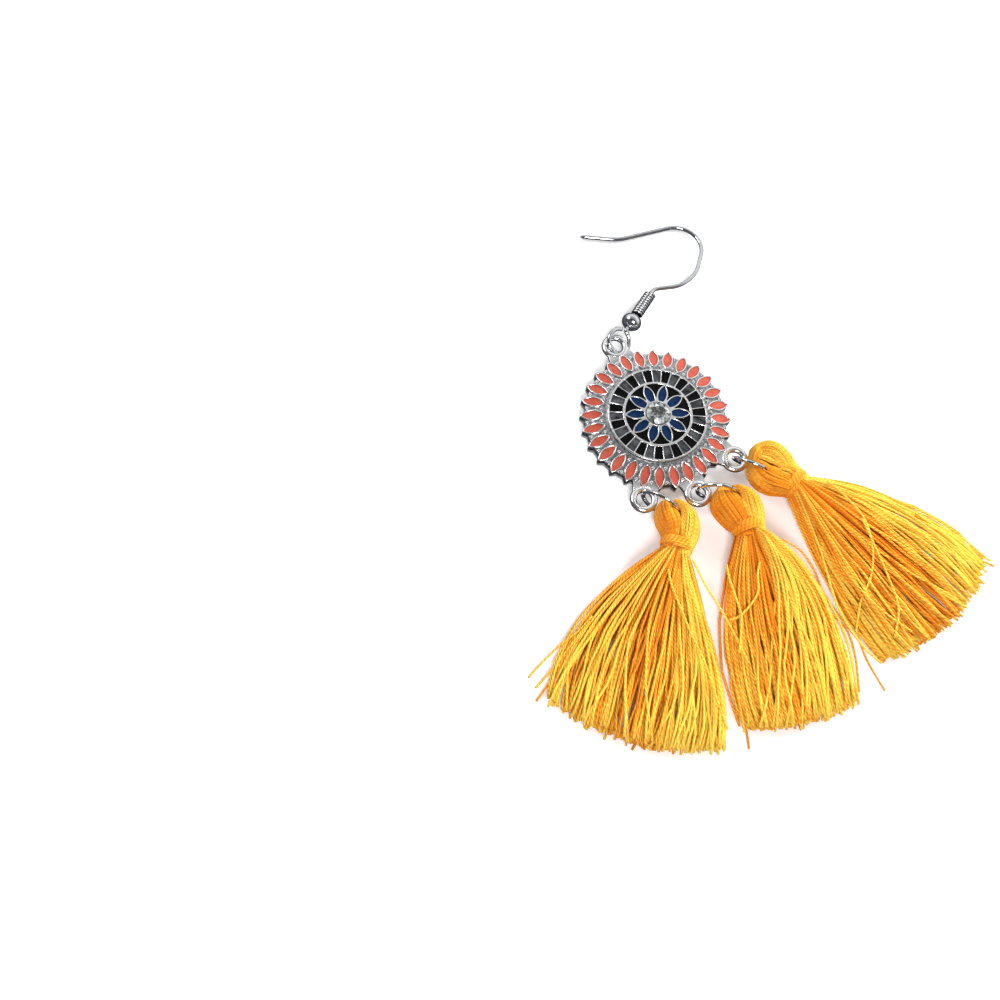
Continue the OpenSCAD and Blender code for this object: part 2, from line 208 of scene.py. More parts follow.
def mergedNodes(names, flat):
    # a copy of CAD nodes with its triangles joined into whole faces
    bm = bmesh.new()
    for name in names:
        bm.from_mesh(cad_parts[name].data)
    bmesh.ops.remove_doubles(bm, verts=bm.verts, dist=0.002 * mm)
    bmesh.ops.dissolve_limit(bm, angle_limit=math.radians(flat), verts=bm.verts, edges=bm.edges)
    return bm


def smoothFaces(bm):
    for face in bm.faces:
        face.smooth = True


def tubes(name, paths, radius, fine, tones=None, pitch=1.0):
    # round tubes along paths of one and the same number of points
    curve = bpy.data.curves.new(name, "CURVE")
    curve.dimensions = "3D"
    curve.bevel_depth = radius * mm
    curve.bevel_resolution = fine
    curve.use_fill_caps = True
    for path in paths:
        spline = curve.splines.new("POLY")
        spline.points.add(len(path) - 1)
        for point, spot in zip(spline.points, path):
            point.co = (*(Vector(spot[:3]) * mm), 1.0)
    holder = bpy.data.objects.new(name + "Path", curve)
    bpy.context.scene.collection.objects.link(holder)
    mesh = bpy.data.meshes.new_from_object(holder.evaluated_get(bpy.context.evaluated_depsgraph_get()))
    bpy.data.objects.remove(holder)
    mesh.name = name
    sides = 4 + 2 * fine
    rings = len(paths[0])
    tones = tones or [0.5] * len(paths)
    turns = [pathLength(path) / pitch for path in paths]
    for label, values in (("tone", tones), ("turns", turns)):
        each = []
        for value in reversed(values):
            each += [value] * (2 * sides)  # the caps come first, last strand first
        for value in values:
            each += [value] * (rings * sides)
        mesh.attributes.new(label, "FLOAT", "POINT").data.foreach_set("value", each)
    bm = bmesh.new()
    bm.from_mesh(mesh)
    bmesh.ops.remove_doubles(bm, verts=bm.verts, dist=0.0002 * mm)
    smoothFaces(bm)
    bm.to_mesh(mesh)
    bm.free()
    return mesh


# The casting: polished where it stands up, dark between the petals, dull at its side wall.
# Its face is discTop high at the disc's edge, discRise more in the middle, and falls by rimDrop
# a millimetre over the petals
castLook = {
    "colour": (0.95, 0.955, 0.965), "grain": 0.5, "rough": (0.13, 0.22),
    "wave": 1.1, "fineWave": 0.25, "fineShare": 0.25, "waveDeep": 0.05, "waveStrength": 0.6,
    "discRadius": 8.18, "discTop": 3.4, "discRise": 0.4,
    "rimTop": 2.9, "rimDrop": 0.9 / 3.8, "rimFrom": 8.68, "rimTo": 12.75, "rimEdge": 0.02,
    "darkSpan": (0.08, 0.55), "darkRagged": 0.25, "darkRough": 0.2,
    "webs": [(0.38, (0.04, 0.04, 0.043)), (0.62, (0.45, 0.45, 0.46))], "webSize": 0.3,
    "side": (0.58, 0.59, 0.61), "sideSpan": (1.15, 1.4), "sideMetal": 0.45,
    "edge": 0.075, "edgeSteps": 2, "sharpFrom": 32, "flat": 1.5,
}


def castFinish(look):
    material, tree, shader = newFinish("castSilver", Metallic=1.0)
    where = place(tree)
    parts = addNode(tree, "SeparateXYZ", {0: where}).outputs
    x, y, z = (times(tree, part, 1 / mm) for part in parts)
    out = maths(tree, "SQRT", plus(tree, times(tree, x, x), times(tree, y, y)))
    disc = spread(tree, out, 0.0, look["discRadius"], (look["discTop"] + look["discRise"], look["discTop"]))
    rim = minus(tree, look["rimTop"], offCentre(tree, out, look["rimDrop"], look["rimFrom"]))
    onRim = maths(tree, "GREATER_THAN", out, look["discRadius"] + look["rimEdge"])
    top = addNode(tree, "Mix", {0: onRim, 2: disc, 3: rim}).outputs[0]
    deep = minus(tree, top, z)
    grain = noise(tree, where, look["grain"])
    dark = spread(tree, plus(tree, deep, offCentre(tree, grain, look["darkRagged"])), *look["darkSpan"])
    dark = times(tree, dark, maths(tree, "LESS_THAN", out, look["rimTo"]))
    webs = ramp(tree, noise(tree, where, look["webSize"], detail=2.0), look["webs"])
    side = spread(tree, deep, *look["sideSpan"])
    tone = mixColours(tree, side, mixColours(tree, dark, look["colour"], webs), look["side"])
    metal = spread(tree, side, 0.0, 1.0, (1.0, look["sideMetal"]))
    rough = plus(tree, spread(tree, grain, *noiseSpan, look["rough"]), times(tree, dark, look["darkRough"]))
    feed(tree, shader, Base_Color=tone, Metallic=metal, Roughness=rough)
    fine = times(tree, noise(tree, where, look["fineWave"], detail=2.0), look["fineShare"])
    waves = plus(tree, noise(tree, where, look["wave"], detail=2.0), fine)
    bump(tree, shader, waves, look["waveDeep"], look["waveStrength"])
    return material


def makeCasting(look):
    mesh = newMesh("medallionCasting", mergedNodes(["medallion"], look["flat"]))
    mesh.shade_smooth()
    piece = addPiece("medallionCasting", mesh, castFinish(look), "cast_metal", "medallion")
    rounding = piece.modifiers.new("roundedEdges", "BEVEL")
    rounding.width = look["edge"] * mm
    rounding.segments = look["edgeSteps"]
    rounding.angle_limit = math.radians(look["sharpFrom"])
    rounding.use_clamp_overlap = False
    rounding.miter_outer = "MITER_ARC"
    piece.modifiers.new("evenShading", "WEIGHTED_NORMAL")


makeCasting(castLook)


# Enamel lies sink below its rim and hangs on to the walls: each step of climb is an inset
# and how much further the middle falls there. A colour has its dark and its light cloud
enamelLook = {
    "sink": 0.05, "climb": [(0.015, 0.02), (0.035, 0.025), (0.06, 0.01)], "flat": 3.5,
    "topFacing": 0.8, "smoothFacing": 0.3,  # how far a face has to look up
    "gloss": 1.2, "rough": (0.06, 0.16), "roughSpan": (0.2, 0.8), "wave": 0.7, "waveDeep": 0.012, "waveStrength": 0.5,
    "coral": ((0.36, 0.066, 0.042), (0.46, 0.098, 0.066)), "blue": ((0.002, 0.011, 0.04), (0.006, 0.023, 0.066)),
    "black": ((0.001, 0.001, 0.001), (0.003, 0.003, 0.0035)), "grey": ((0.008, 0.009, 0.01), (0.075, 0.08, 0.085)),
    "mottle": {"coral": 0.9, "blue": 0.9, "black": 0.9, "grey": 1.3},
}


def enamelFinish(look, colour):
    material, tree, shader = newFinish(colour + "Enamel", IOR=look["gloss"])
    where = place(tree)
    cloud = noise(tree, where, look["mottle"][colour])
    feed(tree, shader, Base_Color=ramp(tree, cloud, zip(noiseSpan, look[colour])),
         Roughness=spread(tree, cloud, *look["roughSpan"], look["rough"]))
    bump(tree, shader, noise(tree, where, look["wave"], detail=1.0), look["waveDeep"], look["waveStrength"])
    return material


def makeEnamel(look, name, nodes, finish, slotName):
    bm = mergedNodes(nodes, look["flat"])
    tops = [f for f in bm.faces if f.normal.z > look["topFacing"]]
    bmesh.ops.translate(bm, verts=list({v for f in tops for v in f.verts}), vec=(0, 0, -look["sink"] * mm))
    for width, fall in look["climb"]:
        bmesh.ops.inset_individual(bm, faces=tops, thickness=width * mm, depth=-fall * mm, use_even_offset=True)
    for face in bm.faces:
        face.smooth = face.normal.z > look["smoothFacing"]
    addPiece(name, newMesh(name, bm), finish, slotName, *nodes)


def numbered(start):
    return sorted(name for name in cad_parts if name.startswith(start))


blackEnamel = enamelFinish(enamelLook, "black")
makeEnamel(enamelLook, "coralPetals", numbered("coral_petal_"), enamelFinish(enamelLook, "coral"), "coral_enamel")
makeEnamel(enamelLook, "bluePetals", numbered("blue_petal_"), enamelFinish(enamelLook, "blue"), "blue_enamel")
makeEnamel(enamelLook, "blackCells", ["black_cells"], blackEnamel, "black_enamel")
makeEnamel(enamelLook, "greyCells", ["grey_cells"], enamelFinish(enamelLook, "grey"), "grey_enamel")
makeEnamel(enamelLook, "blackGround", ["black_ground"], blackEnamel, "black_enamel")
print("medallion and enamel made")


stoneLook = {
    "rings": [  # reach, height over the girdle, facets round, turn in degrees
        (1.1, 0.58, 8, 0), (1.56, 0.36, 8, 22.5), (1.96, 0.07, 16, 11.25), (1.96, 0.0, 16, 11.25),
        (1.35, -0.36, 8, 0), (0.8, -0.68, 8, 22.5), (0.3, -0.9, 4, 10),
    ],
    "girdle": 3.752, "turn": 11.25, "flat": 1, "seed": 8, "rough": (0.03, 0.12), "cloud": 0.45, "cloudShare": 1.6,
    # painted reflection: these tones run from dark to white for the facets' flashes
    "tones": [(0.0, (0.05, 0.055, 0.055)), (0.5, (0.46, 0.49, 0.48)), (1.0, (1.0, 1.0, 1.0))],
    "glass": {"IOR": 1.5, "Transmission_Weight": 0.45}, "foil": {"Metallic": 0.4}, "foilFacing": -0.1,
}


def stoneFinish(look, name, values):
    # painted reflection: each facet is painted as bright as its own value says, from dark to white, for the flashes
    # of a cut stone
    material, tree, shader = newFinish(name, **values)
    cloud = noise(tree, place(tree), look["cloud"])
    level = plus(tree, surfaceValue(tree, "facet"), offCentre(tree, cloud, look["cloudShare"]), clamped=True)
    feed(tree, shader, Base_Color=ramp(tree, level, look["tones"]),
         Roughness=spread(tree, cloud, *noiseSpan, look["rough"]))
    return material


def makeStone(look):
    bm = bmesh.new()
    for reach, up, count, turn in look["rings"]:
        for k in range(count):
            corner = polar(reach, look["turn"] + turn + 360 / count * k)
            bm.verts.new((corner + Vector((0, 0, look["girdle"] + up))) * mm)
    bmesh.ops.convex_hull(bm, input=bm.verts)
    bmesh.ops.dissolve_limit(bm, angle_limit=math.radians(look["flat"]), verts=bm.verts, edges=bm.edges)
    bmesh.ops.recalc_face_normals(bm, faces=bm.faces)
    for face in bm.faces:
        face.material_index = int(face.normal.z < look["foilFacing"])  # foil backs the facets below
    mesh = newMesh("stoneCut", bm)
    dice = random.Random(look["seed"])
    # painted reflection: one brightness for each facet
    paintedFlashes = [dice.random() for _ in mesh.polygons]
    mesh.attributes.new("facet", "FLOAT", "FACE").data.foreach_set("value", paintedFlashes)
    addPiece("stoneCut", mesh, stoneFinish(look, "stoneGlass", look["glass"]), "stone", "rhinestone")
    mesh.materials.append(stoneFinish(look, "stoneFoil", look["foil"]))


makeStone(stoneLook)


silverLook = {
    "colour": (0.74, 0.76, 0.79), "shade": 0.82, "shadeSpan": (0.3, 0.6),
    "grain": 0.8, "rough": (0.06, 0.13), "roughSpan": (0.3, 0.75), "wave": 1.6, "waveDeep": 0.03, "waveStrength": 0.5,
}
# The stem starts at the foot of the ear wire and runs through bead and coil into the bends,
# each a radius, a bend in degrees and the straight length after it; the loop goes back from the foot
wireLook = {
    "wire": 0.7, "turn": 32.5, "slope": 4.05, "slopeTurn": 40.5, "stemFree": 0.42,
    "bends": [(1.6, -48, 2.3), (6.6, 64, 2.4), (4.4, 123.5, 7.8), (8, -21.5, 4.0)],
    "pointed": 1.2, "point": [(0.5, 0.82), (0.35, 0.75), (0.15, 0.6)],  # share of the length, taper
    "tipReach": 0.6,  # in wire widths from the tip, takes in the wire's end only
    "eyeAt": 14.33, "eyeHole": 2.4, "eyeHeight": 1.5, "eyeRoom": 0.07,
    "loop": 2.05, "loopTurn": 31, "footBend": 0.6, "loopRoll": 36, "loopOpen": 324,
    "loopSink": 0.12, "loopGap": 0.045, "stride": 0.4, "bendStride": 0.12, "fine": 6,
}
beadLook = {
    "across": 3.4, "long": 2.7, "from": 0.32, "steps": 14, "around": 48,
    "boreRoom": 0.14, "boreShare": 0.94, "floorRoom": 0.13, "sharpFrom": 35,
}
coilLook = {
    "wire": 0.49, "turns": 9.5, "room": 0.01, "ease": 0.18, "endRoom": 0.02, "beadRoom": 0.18,
    "around": 22, "fine": 3,
    # painted shade: the dark colour on this line is painted on the wire where the coil's turns meet
    "paintedGapShade": (0.05, 0.05, 0.052), "crestSpan": (0.11, 0.21), "grain": 0.4, "ragged": 0.05,
    "rough": (0.4, 0.16), "roughSpan": (0.0, 0.2),
}


def wireFinish(look):
    material, tree, shader = newFinish("wireSilver", Metallic=1.0)
    where = place(tree)
    grain = noise(tree, where, look["grain"])
    shade = tuple(look["shade"] * c for c in look["colour"])
    feed(tree, shader, Base_Color=ramp(tree, grain, zip(look["shadeSpan"], (shade, look["colour"]))),
         Roughness=spread(tree, grain, *look["roughSpan"], look["rough"]))
    bump(tree, shader, noise(tree, where, look["wave"], detail=2.0), look["waveDeep"], look["waveStrength"])
    return material


def coilFinish(look, bright):
    # painted shade and painted highlight: the wire is painted dark where two turns meet and light on the crest of
    # each turn
    material, tree, shader = newFinish("coilSilver", Metallic=1.0)
    crest = surfaceValue(tree, "crest")
    grain = offCentre(tree, noise(tree, place(tree), look["grain"]), look["ragged"])
    # painted highlight on each turn's crest, painted shade between the turns
    paintedCrestLight = spread(tree, plus(tree, crest, grain), *look["crestSpan"])
    feed(tree, shader, Base_Color=ramp(tree, paintedCrestLight, [(0.0, look["paintedGapShade"]), (1.0, bright)]),
         Roughness=spread(tree, crest, *look["roughSpan"], look["rough"]))
    return material


def wireFoot(look):
    # where the stem starts, how far the loop dips from there, and how far its first bend sweeps
    footZ = beadLook["across"] / 2 + beadLook["floorRoom"]
    inside = look["eyeHole"] / 2 - look["wire"] / 2 - look["eyeRoom"]
    run = math.sqrt((look["loop"] + look["footBend"]) ** 2 - look["footBend"] ** 2)
    dip = math.degrees(math.asin((footZ - look["eyeHeight"] - look["loopSink"]) / run))
    foot = Vector((0, look["eyeAt"], 0)) + polar(look["loop"] - inside, look["loopTurn"])
    foot += polar(run + look["loopGap"], look["turn"])
    foot.z = footZ
    sweep = 90 - math.degrees(math.atan(look["footBend"] / run))
    start = inFrame(foot, look["turn"]) @ turned(look["slope"], polar(1, look["slopeTurn"] + 90))
    return start, dip, sweep


def walk(look, start, moves):
    # follows straight stretches and bends in the frame's own XY plane
    at = start.copy()
    points = [at.translation.copy()]
    for move in moves:
        if move[0] in "XYZ":
            at = at @ turned(move[1], move[0])
        elif move[0] == "straight":
            count = max(1, int(move[1] / look["stride"]))
            points += [at @ Vector((move[1] * (k + 1) / count, 0, 0)) for k in range(count)]
            at = at @ Matrix.Translation((move[1], 0, 0))
        else:
            radius, bend = move[1:]
            centre = Matrix.Translation((0, math.copysign(radius, bend), 0))
            count = max(4, int(radius * math.radians(abs(bend)) / look["bendStride"]))
            for k in range(count):
                ahead = at @ centre @ turned(bend * (k + 1) / count) @ centre.inverted()
                points.append(ahead.translation.copy())
            at = ahead
    return points


def makeEarWire(look, finish):
    start, dip, sweep = wireFoot(look)
    coilFrom = beadLook["from"] + beadLook["long"] + coilLook["beadRoom"]
    coilRun = (coilLook["wire"] + coilLook["room"]) * coilLook["turns"] + coilLook["wire"] + 2 * coilLook["endRoom"]
    hook = [("straight", coilFrom + coilRun + look["stemFree"])]
    for radius, bend, then in look["bends"]:
        hook += [("bend", radius, bend), ("straight", then)]
    loop = walk(look, start @ turned(180) @ turned(90, "X"), [
        ("Z", -dip - look["slope"]), ("X", -90 - look["loopRoll"]),
        ("bend", look["footBend"], sweep), ("bend", look["loop"], -look["loopOpen"])])
    path = list(reversed(loop))[:-1] + walk(look, start, hook)
    mesh = tubes("earWire", [path], look["wire"] / 2, look["fine"])
    tip = path[-1]
    heading = (tip - path[-2]).normalized()
    bm = bmesh.new()
    bm.from_mesh(mesh)
    end = [f for f in bm.faces if all((v.co / mm - tip).length < look["wire"] * look["tipReach"] for v in f.verts)]
    for share, taper in look["point"]:
        grown = bmesh.ops.extrude_face_region(bm, geom=end)
        bmesh.ops.delete(bm, geom=end, context="FACES_ONLY")
        end = [g for g in grown["geom"] if isinstance(g, bmesh.types.BMFace)]
        ring = list({v for f in end for v in f.verts})
        bmesh.ops.translate(bm, verts=ring, vec=heading * look["pointed"] * share * mm)
        middle = sum((v.co for v in ring), Vector()) / len(ring)
        bmesh.ops.scale(bm, verts=ring, vec=(taper,) * 3, space=Matrix.Translation(-middle))
    smoothFaces(bm)
    addPiece("earWireHook", newMesh("earWireHook", bm), finish, "wire_metal", "ear_wire")
    return start, coilFrom


def makeBead(look, start, finish):
    bore = (wireLook["wire"] + look["boreRoom"]) / 2
    radius = look["across"] / 2
    half = look["long"] / 2
    span = math.acos(bore / radius)
    profile = [(bore, -half * look["boreShare"]), (bore, half * look["boreShare"])]
    for k in range(look["steps"] + 1):
        a = mix(span, -span, k / look["steps"])
        profile.append((radius * math.cos(a), half * math.sin(a) / math.sin(span)))
    bm = bmesh.new()
    verts = [bm.verts.new(((up + half + look["from"]) * mm, 0, out * mm)) for out, up in profile]
    edges = [bm.edges.new(pair) for pair in zip(verts, verts[1:] + verts[:1])]
    bmesh.ops.spin(bm, geom=verts + edges, cent=(0, 0, 0), axis=(1, 0, 0), angle=2 * math.pi,
                   steps=look["around"], use_merge=True)
    bmesh.ops.remove_doubles(bm, verts=bm.verts, dist=0.001 * mm)
    bmesh.ops.recalc_face_normals(bm, faces=bm.faces)
    placed = Matrix.Translation(start.translation * mm) @ start.to_3x3().to_4x4()
    bmesh.ops.transform(bm, matrix=placed, verts=bm.verts)
    smoothFaces(bm)
    mesh = newMesh("beadBall", bm)
    mesh.set_sharp_from_angle(angle=math.radians(look["sharpFrom"]))
    addPiece("beadBall", mesh, finish, "wire_metal", "wire_bead")


def makeCoil(look, start, coilFrom):
    out = (wireLook["wire"] + look["wire"]) / 2 + look["ease"]
    first = coilFrom + look["wire"] / 2 + look["endRoom"]
    path = []
    for k in range(int(look["turns"] * look["around"]) + 1):
        turn = k / look["around"]
        a = 2 * math.pi * turn
        along = first + (look["wire"] + look["room"]) * turn
        path.append(start @ Vector((along, out * math.cos(a), out * math.sin(a))))
    mesh = tubes("coilWire", [path], look["wire"] / 2, look["fine"])
    axis = (start.to_3x3() @ Vector((1, 0, 0))).normalized()
    crest = []  # how far each point stands out from the middle of the wire
    for v in mesh.vertices:
        off = v.co / mm - start.translation
        crest.append((off - axis * off.dot(axis)).length - out)
    mesh.attributes.new("crest", "FLOAT", "POINT").data.foreach_set("value", crest)
    addPiece("coilWire", mesh, coilFinish(look, silverLook["colour"]), "wire_metal", "wire_coil")


wireSilver = wireFinish(silverLook)
wireStart, coilFrom = makeEarWire(wireLook, wireSilver)
makeBead(beadLook, wireStart, wireSilver)
makeCoil(coilLook, wireStart, coilFrom)
print("stone, ear wire, bead and coil made")


ringLook = {
    "across": 6.8, "wire": 0.65, "slit": 3, "slitTurn": 60, "around": 96, "fine": 5, "sharpFrom": 50,
    "eyeTurns": [90, -126, -90, -54], "eyeAt": 14.33, "room": 0.2,
}
tasselLook = {
    "fringe": 31.5, "head": 7.0, "headTall": 6.1, "neck": 4.5, "wrapThread": 0.44, "wrapTurns": 4,
    "neckRoom": 0.1, "floorGap": 0.02, "seed": 40,
}
# How each tassel hangs and lies. Across a fringe, q goes from -1 at its left edge to 1 at its
# right: paintedLight is the painted light and shade on the threads along q, lighter towards both
# edges and darker in the middle, lock has the q between which the top threads sway aside and how far,
# and cross has the q between which they cross over to other q at the hem.
# Each lobe of a head has stops from the neck to its far end: along the head, the outer
# edge, the edge at the cleft, and half its height; the bridge passes through the ring
hangs = [
    {"eye": 1, "ringTurn": -57, "ringLean": 0, "neckRun": 0.72, "neckTurn": -120, "headTurn": -110,
     "wrapTurn": -131, "skirtTurn": -130, "skirtLong": 0.99, "slant": 0.0,
     "spread": (0.43, 0.42), "bow": (2.0, 1.4),
     "paintedLight": [(-1, 0.45), (-0.5, 0.4), (0, 0.2), (0.25, 0.2), (0.5, 0.5), (1, 0.65)],
     "lock": (0.15, 0.8, 1.2), "wild": 0.2, "headTone": 0.62,
     "left": [(-0.9, -2.2, 0.6, 2.1), (-2.7, -2.35, 1.0, 2.75), (-4.1, -2.75, 0.75, 3.0), (-5.4, -2.75, 0.35, 2.8),
              (-6.3, -2.3, -0.1, 2.3), (-6.8, -1.5, -0.4, 1.6)],
     "right": [(0.3, 2.7, -0.1, 2.1), (-1.3, 3.7, 0.2, 2.6), (-2.8, 4.1, 0.45, 2.95), (-4.3, 3.8, 0.9, 3.0),
               (-5.7, 2.8, 0.9, 2.5), (-6.8, 1.6, 0.5, 1.7)],
     "bridge": (-6.5, 0.1, -0.7, 0.8, 1.4),
     "tufts": [[(0.6, 0.2, 0.9, 1.0, 1.1), (-1.4, 0.55, 1.5, 0.95, 1.0), (-3.0, 0.8, 1.6, 0.7, 0.9),
                (-4.1, 0.95, 0.7, 0.4, 0.6)]]},
    {"eye": 2, "ringTurn": -32, "ringLean": 0, "neckRun": 0.79, "neckTurn": -100, "headTurn": -88,
     "wrapTurn": -96, "skirtTurn": -105, "skirtLong": 0.985, "slant": 0.0,
     "spread": (0.25, 0.32), "bow": (2.2, 3.2),
     "paintedLight": [(-1, 0.4), (-0.5, 0.35), (0, 0.1), (0.2, 0.1), (0.4, 0.5), (1, 0.6)],
     "lock": (0.1, 0.35, 1.5), "cross": (0.35, 1.0, -0.6, 1.0), "wild": 0.14, "headTone": 0.56,
     "left": [(-0.3, -2.6, 0.7, 2.1), (-1.8, -3.15, 0.95, 2.6), (-3.6, -3.55, 0.9, 3.0), (-4.9, -3.6, 0.7, 3.0),
              (-6.0, -2.9, 0.5, 2.5), (-6.8, -1.6, 0.1, 1.8)],
     "right": [(0.2, 2.8, -0.1, 2.1), (-1.2, 3.6, 0.1, 2.6), (-2.6, 4.0, 0.4, 2.95), (-4.0, 3.9, 0.95, 3.0),
               (-5.2, 3.25, 1.2, 2.5), (-6.2, 2.3, 1.1, 1.8)],
     "bridge": (-6.6, 0.8, -0.7, 0.8, 1.4),
     "tufts": [[(0.6, 0.2, 0.9, 1.0, 1.1), (-1.6, 0.5, 1.5, 0.95, 1.0), (-3.4, 0.75, 1.6, 0.7, 0.9),
                (-4.6, 0.95, 0.7, 0.4, 0.6)]]},
    {"eye": 3, "ringTurn": -47, "ringLean": 20, "neckRun": 0.56, "neckTurn": -51, "headTurn": -66,
     "wrapTurn": -60, "skirtTurn": -72.5, "skirtLong": 1.02, "slant": 0.045,
     "spread": (0.33, 0.46), "bow": (1.35, 2.2),
     "paintedLight": [(-1, 0.4), (-0.6, 0.25), (0, 0.12), (0.3, 0.14), (0.6, 0.36), (1, 0.55)],
     "lock": (0.5, 0.95, 0.3), "wild": 0.28, "headTone": 0.62,
     "left": [(0.4, -2.6, 0.1, 2.1), (-1.2, -3.5, 0.1, 2.6), (-2.6, -4.35, -0.3, 2.9), (-4.1, -4.5, -0.9, 3.0),
              (-5.7, -3.7, -0.9, 2.7), (-7.0, -2.3, -1.0, 2.0)],
     "right": [(-0.3, 2.7, -0.7, 2.1), (-2.2, 3.0, -0.8, 2.6), (-3.6, 3.5, -0.5, 2.9), (-5.2, 3.65, -0.3, 3.0),
               (-6.5, 3.0, -0.5, 2.7), (-7.3, 1.7, -0.6, 2.1)],
     "bridge": (-7.2, -0.4, 0.3, 1.1, 2.2),
     "tufts": [[(0.6, 0.0, 1.0, 1.1, 1.0), (-1.2, 0.1, 1.8, 1.1, 0.9), (-2.6, -0.5, 2.0, 0.9, 0.8),
                (-3.4, -0.9, 0.9, 0.5, 0.7)],
               [(0.2, 0.6, 1.0, 0.9, 1.1), (-2.0, 0.2, 1.1, 1.1, 1.5), (-4.2, -0.45, 1.05, 1.3, 1.7),
                (-6.0, -0.8, 0.7, 1.3, 1.8), (-7.0, -1.1, -0.1, 0.9, 1.4)]]},
]
floorGap = tasselLook["floorGap"]
ringRadius = (ringLook["across"] - ringLook["wire"]) / 2
neckTall = max(tasselLook["headTall"], tasselLook["neck"] + 2 * tasselLook["wrapThread"] + tasselLook["neckRoom"])
neckHeight = neckTall / 2 + floorGap
neckHalf = tasselLook["wrapThread"] * tasselLook["wrapTurns"] / 2


def placeHang(h):
    lean = math.radians(h["ringLean"])
    up = ringRadius * math.cos(lean) + ringLook["wire"] / 2 + floorGap
    drop = up - wireLook["eyeHeight"]
    reach = math.sqrt(ringRadius ** 2 - (drop / math.cos(lean)) ** 2)
    centre = polar(ringLook["eyeAt"], ringLook["eyeTurns"][h["eye"]]) + polar(reach + ringLook["room"], h["ringTurn"])
    centre += polar(drop * math.tan(lean), h["ringTurn"] - 90)
    h["ring"] = inFrame(centre + Vector((0, 0, up)), h["ringTurn"]) @ turned(90 + h["ringLean"], "X")
    hang = centre + polar(ringRadius, h["ringTurn"])
    h["neckAt"] = hang + polar(h["neckRun"] * tasselLook["head"], h["neckTurn"]) + Vector((0, 0, neckHeight))


def makeRing(look, i, h):
    placed = h["ring"] @ turned(look["slitTurn"] + look["slit"] / 2)
    sweep = 360 - look["slit"]
    path = [placed @ polar(ringRadius, sweep * k / look["around"]) for k in range(look["around"] + 1)]
    mesh = tubes(f"jumpRing{i}", [path], look["wire"] / 2, look["fine"])
    mesh.set_sharp_from_angle(angle=math.radians(look["sharpFrom"]))
    addPiece(f"jumpRing{i}", mesh, wireSilver, "wire_metal", f"jump_ring_{i}")


threadLook = {
    "deep": (0.72, 0.175, 0.002), "middle": (0.88, 0.29, 0.006), "bright": (0.96, 0.65, 0.08),
    "ply": 2, "pitch": 1.3, "plyRound": 0.6, "plyMiddle": 0.7, "groove": 0.075,
    "cloud": 2.2, "cloudShare": 0.5, "rough": (0.42, 0.58), "fuzz": 0.12, "fuzzShare": 0.35,
    "sheen": {"Sheen_Weight": 0.2, "Sheen_Roughness": 0.4, "Sheen_Tint": (1.0, 0.7, 0.22, 1)}, "gloss": 0.3,
    # painted light and shade: how much lighter a thread is painted from its start to its end, which makes a head's
    # right lobe, where the key lamp falls, lighter than its left and a fringe lighter towards its hem, and how much
    # lighter its two plies are painted on their ridges than in their grooves
    "uses": {"goldThread": (0.0, 0.75), "goldHead": (0.7, 0.4), "goldFringe": (0.5, 0.75)},
}


def threadFinish(look, name):
    lift, plyLightAndShade = look["uses"][name]
    material, tree, shader = newFinish(name, Specular_IOR_Level=look["gloss"], **look["sheen"])
    spots = addNode(tree, "TexCoord").outputs
    along, across = addNode(tree, "SeparateXYZ", {0: spots["UV"]}).outputs[:2]
    twist = plus(tree, times(tree, along, surfaceValue(tree, "turns")), across)
    ridge = maths(tree, "ABSOLUTE", maths(tree, "SINE", times(tree, twist, math.pi * look["ply"])))
    ridge = maths(tree, "POWER", ridge, look["plyRound"])
    cloud = noise(tree, spots["Object"], look["cloud"], detail=2.0)
    # painted light and shade: the strand's tone, lighter along the thread by lift, and lighter on each ply's ridge
    # than in its groove
    level = plus(tree, surfaceValue(tree, "tone"), offCentre(tree, cloud, look["cloudShare"]))
    level = plus(tree, level, offCentre(tree, along, lift))
    level = plus(tree, level, offCentre(tree, ridge, plyLightAndShade, look["plyMiddle"]), clamped=True)
    tone = ramp(tree, level, [(0.0, look["deep"]), (0.5, look["middle"]), (1.0, look["bright"])])
    feed(tree, shader, Base_Color=tone, Roughness=spread(tree, cloud, *noiseSpan, look["rough"]))
    fuzz = times(tree, noise(tree, spots["Object"], look["fuzz"], detail=1.0), look["fuzzShare"])
    bump(tree, shader, plus(tree, ridge, fuzz), look["groove"])
    return material


